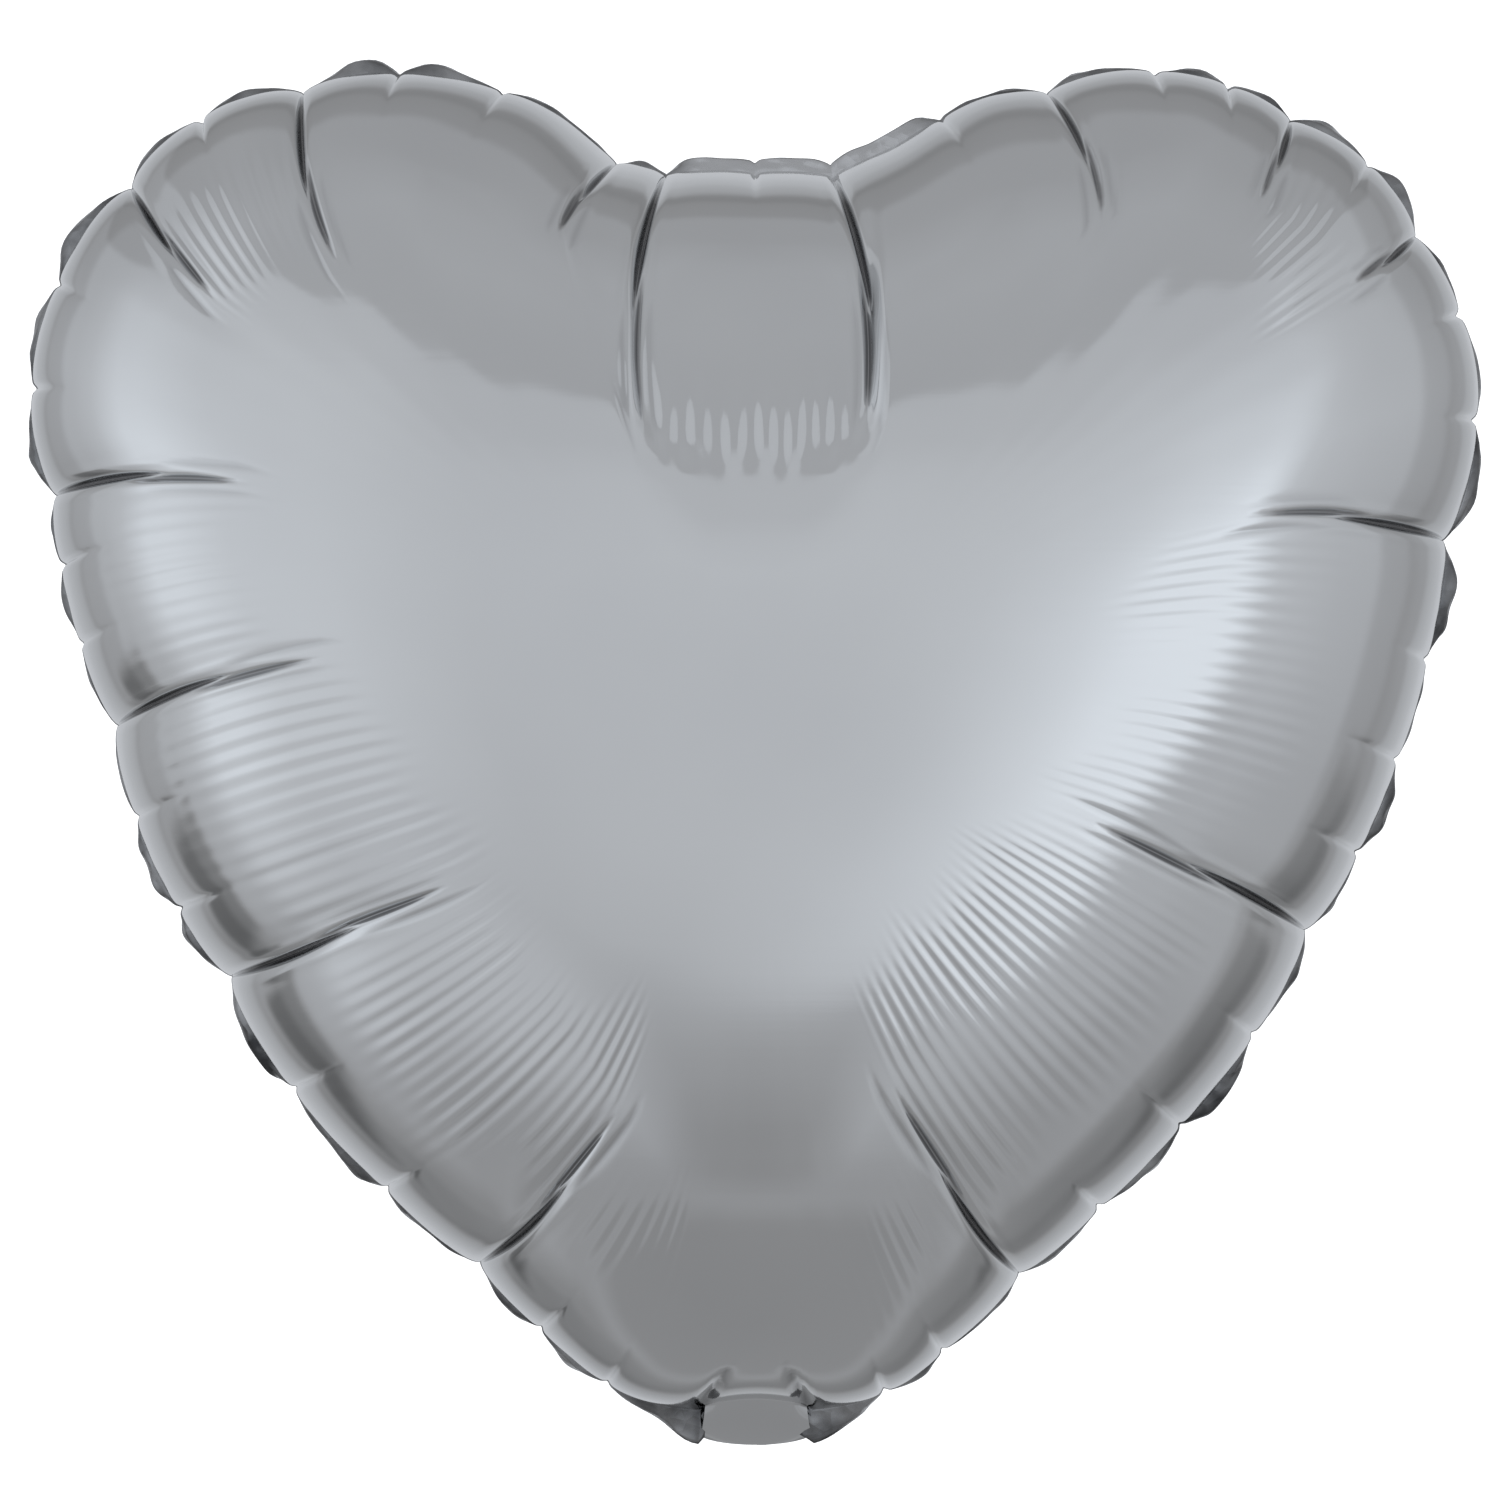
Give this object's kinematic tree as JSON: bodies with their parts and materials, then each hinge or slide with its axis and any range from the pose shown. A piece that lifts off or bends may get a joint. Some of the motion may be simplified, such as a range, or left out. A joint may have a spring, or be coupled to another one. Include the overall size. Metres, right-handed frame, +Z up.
{
  "type": "foil balloon",
  "caption": "Heart-shaped foil balloon, inflated, with a pinched seam round its edge, a folded filling neck at the tip and a flat film valve inside.",
  "frame": {"origin": "middle of the fold line at the heart's tip, where the neck leaves the heart and a ribbon is tied", "axes": "+Z up from the tip to the cleft, +X to the right of someone facing the front film, -Y out of the front film"},
  "size_m": [0.3796, 0.19, 0.3599],
  "materials": {
    "foil": "satin silver, metallised plastic film",
    "foil_seal": "crinkled silver, heat-sealed film",
    "valve_film": "clear thin plastic film",
    "valve_coat": "matt printed coat"
  },
  "bodies": {
    "balloon": {"front_film": "foil", "back_film": "foil", "edge_seal": "foil_seal"},
    "neck": {"neck_front_film": "foil", "neck_back_film": "foil", "neck_seal_left": "foil_seal", "neck_seal_right": "foil_seal", "valve_entry_front_ply": "valve_film", "valve_entry_back_ply": "valve_film", "valve_entry_weld_left": "valve_film", "valve_entry_weld_right": "valve_film", "valve_tack_front": "foil_seal", "valve_tack_back": "foil_seal"},
    "valve": {"valve_front_ply": "valve_film", "valve_back_ply": "valve_film", "valve_weld_left": "valve_film", "valve_weld_right": "valve_film", "valve_release_coat": "valve_coat"}
  },
  "joints": [
    {"name": "neck_fold", "type": "hinge", "parent": "balloon", "child": "neck", "pos_m": [0, 0, 0], "axis": [1, 0, 0], "range_deg": [-180, 0]},
    {"name": "valve_swing", "type": "hinge", "parent": "balloon", "child": "valve", "pos_m": [0, 0, 0.012], "axis": [1, 0, 0], "range_deg": [-25, 25], "stiffness_Nm_per_rad": 0.0001}
  ]
}
